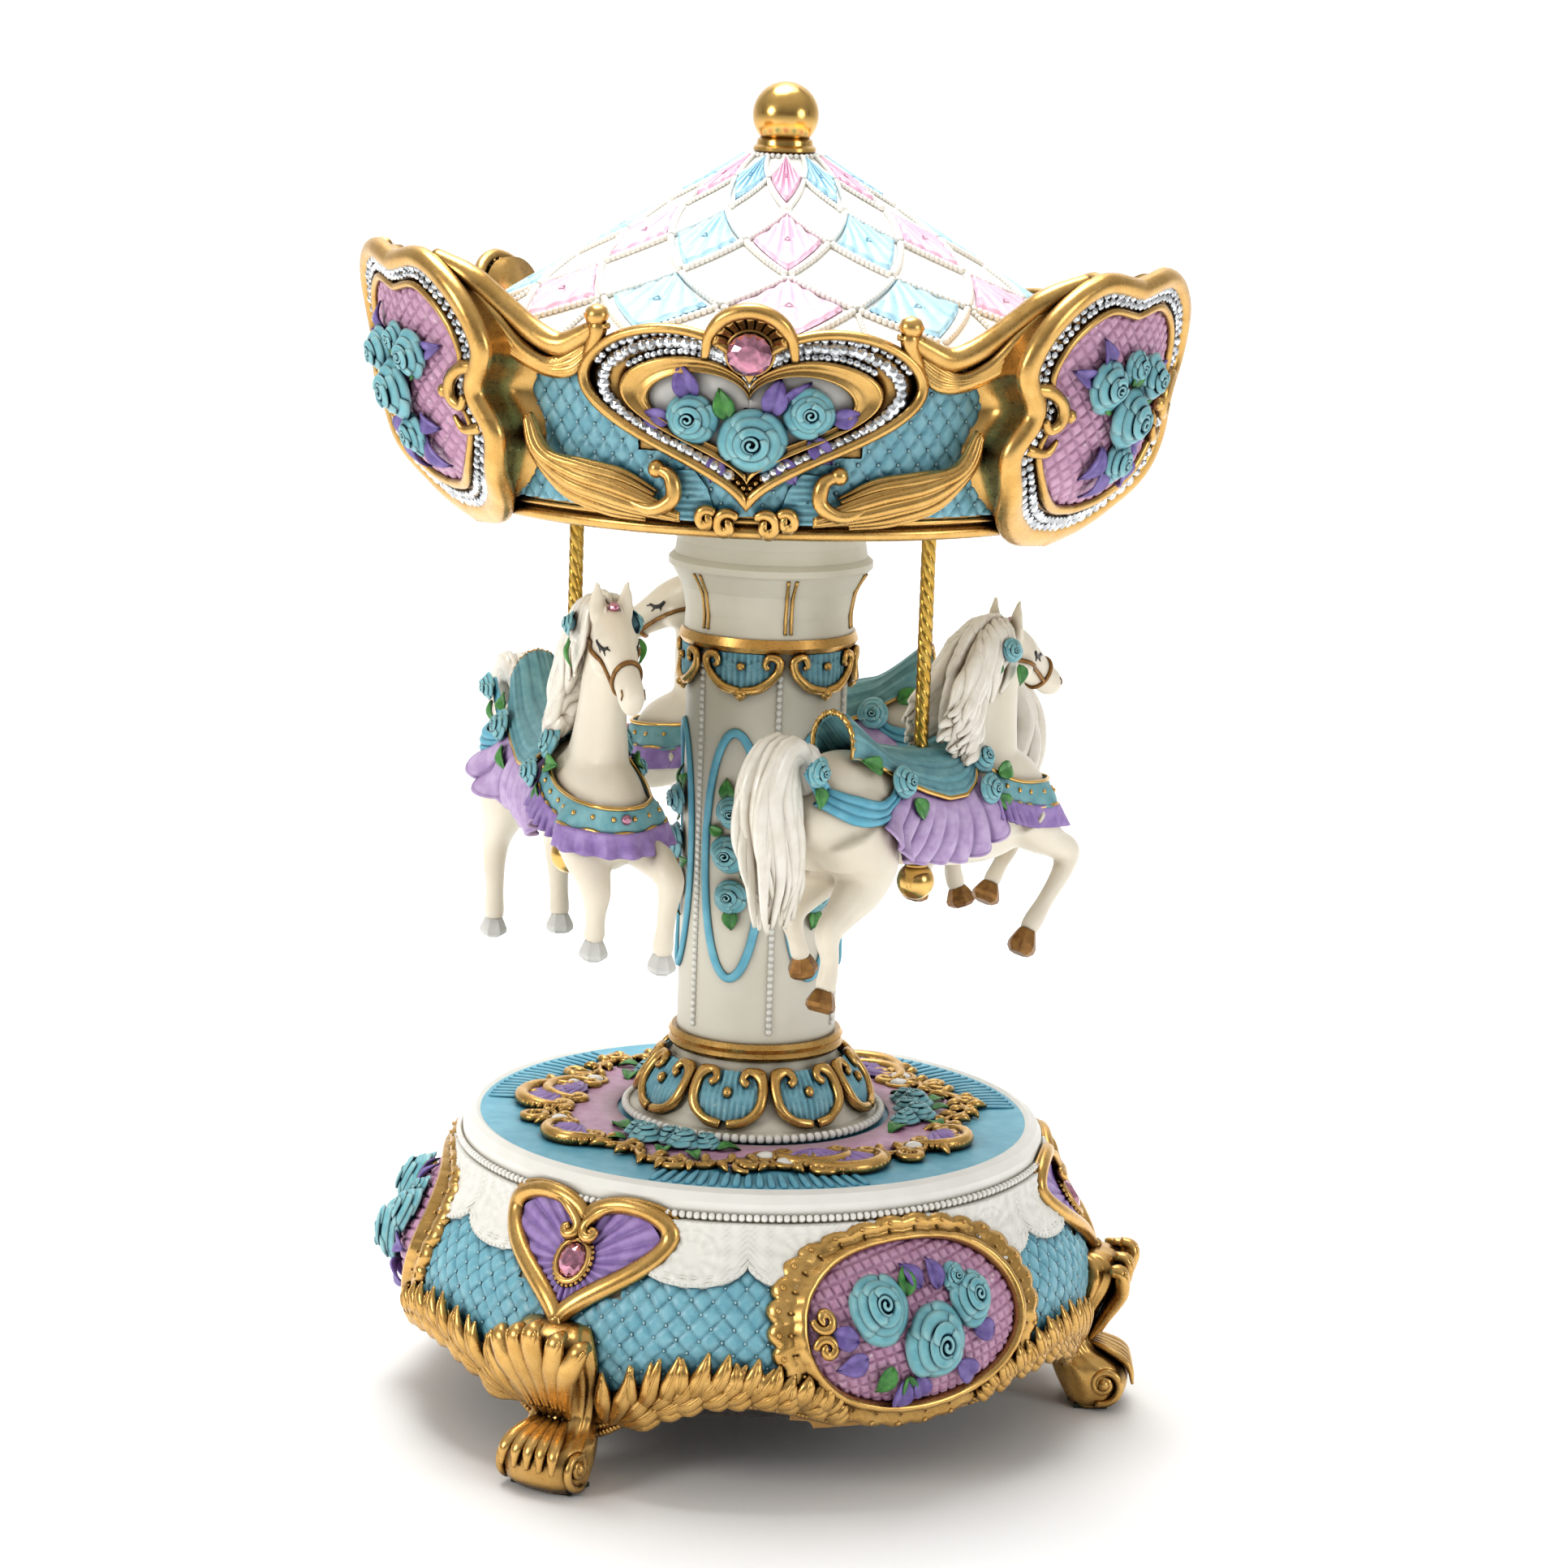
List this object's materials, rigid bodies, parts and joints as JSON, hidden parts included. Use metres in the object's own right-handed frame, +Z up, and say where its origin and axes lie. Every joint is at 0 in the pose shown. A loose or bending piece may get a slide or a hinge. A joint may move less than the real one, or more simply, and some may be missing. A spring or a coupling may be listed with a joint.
{
  "type": "carousel music box",
  "caption": "Wind-up carousel music box: prancing horses hang on twisted poles from a jewelled canopy that turns on a column over a footed, flower-decked base with a pinned-cylinder movement.",
  "frame": {"origin": "on the turning axis of the carousel, in the plane the three feet stand on", "axes": "+Z up along the turning axis; -Y towards the front, where a canopy heart faces; +X to the viewer's right"},
  "size_m": [0.1518, 0.1479, 0.255],
  "materials": {
    "ivory_resin": "satin",
    "white_resin": "satin",
    "gold_paint": "satin metallic",
    "sky_blue_paint": "satin",
    "teal_paint": "satin",
    "pink_paint": "satin",
    "purple_paint": "satin",
    "pink_gem": "polished",
    "pearl": "pearlescent",
    "brass": "polished",
    "steel": "brushed",
    "spring_steel": "blued",
    "zinc_casting": "cast",
    "cover_board": "matte",
    "felt": "felt",
    "nylon": "matte"
  },
  "bodies": {
    "base": {"base_shell": "sky_blue_paint", "feet": "gold_paint", "foot_pads": "felt", "base_heart_frames": "gold_paint", "base_heart_fills": "purple_paint", "base_heart_gems": "pink_gem", "oval_frames": "gold_paint", "oval_panels": "pink_paint", "oval_roses": "teal_paint", "lace_collar": "white_resin", "pearl_strip": "pearl", "platform_disc": "sky_blue_paint", "platform_rim": "white_resin", "platform_scrollwork": "gold_paint", "platform_roses": "teal_paint", "bottom_cover": "cover_board", "cover_screws": "steel", "movement_plate": "zinc_casting", "movement_screws": "steel", "spring_housing": "brass", "mainspring": "spring_steel", "comb": "steel", "bearing_brackets": "brass", "spindle_bush": "brass"},
    "carousel": {"great_wheel": "brass", "drive_spindle": "steel", "column_foot": "white_resin", "column_shields": "sky_blue_paint", "column_shaft": "ivory_resin", "column_wreaths": "sky_blue_paint", "column_pearls": "pearl", "column_roses": "teal_paint", "column_rings": "gold_paint", "capital": "ivory_resin", "canopy_floor": "white_resin", "canopy_wall": "sky_blue_paint", "canopy_heart_frames": "gold_paint", "canopy_heart_panels": "white_resin", "canopy_crests": "gold_paint", "canopy_gems": "pink_gem", "canopy_roses": "teal_paint", "flare_bodies": "gold_paint", "flare_rims": "gold_paint", "flare_panels": "pink_paint", "roof_cone": "white_resin", "roof_lozenges_pink": "pink_paint", "roof_lozenges_blue": "sky_blue_paint", "finial": "gold_paint", "horse_1": "ivory_resin", "horse_2": "ivory_resin", "horse_3": "ivory_resin", "poles": "brass", "saddle_cloths": "purple_paint", "saddles": "teal_paint"},
    "key": {"winding_arbor": "steel", "winding_key": "brass"},
    "cylinder": {"music_cylinder": "brass", "cylinder_arbor": "steel"},
    "governor_wheel": {"governor_wheel": "brass"},
    "governor_fan": {"governor_worm": "nylon"}
  },
  "joints": [
    {"name": "carousel_spin", "type": "hinge", "parent": "base", "child": "carousel", "pos_m": [0, 0, 0.0565], "axis": [0, 0, 1], "continuous": true},
    {"name": "key_wind", "type": "hinge", "parent": "carousel", "child": "key", "pos_m": [0, 0, 0.02], "axis": [0, 0, -1], "continuous": true},
    {"name": "cylinder_spin", "type": "hinge", "parent": "base", "child": "cylinder", "pos_m": [0.028, 0, 0.038], "axis": [1, 0, 0], "continuous": true},
    {"name": "governor_spin", "type": "hinge", "parent": "base", "child": "governor_wheel", "pos_m": [0.04, 0.00676, 0.03124], "axis": [1, 0, 0], "continuous": true},
    {"name": "fan_spin", "type": "hinge", "parent": "base", "child": "governor_fan", "pos_m": [0.0426, 0.01241, 0.035], "axis": [0, 0, 1], "continuous": true}
  ],
  "couplings": [
    {"joint": "cylinder_spin", "follows": "carousel_spin", "ratio": -3},
    {"joint": "governor_spin", "follows": "carousel_spin", "ratio": 12},
    {"joint": "fan_spin", "follows": "carousel_spin", "ratio": -240}
  ]
}
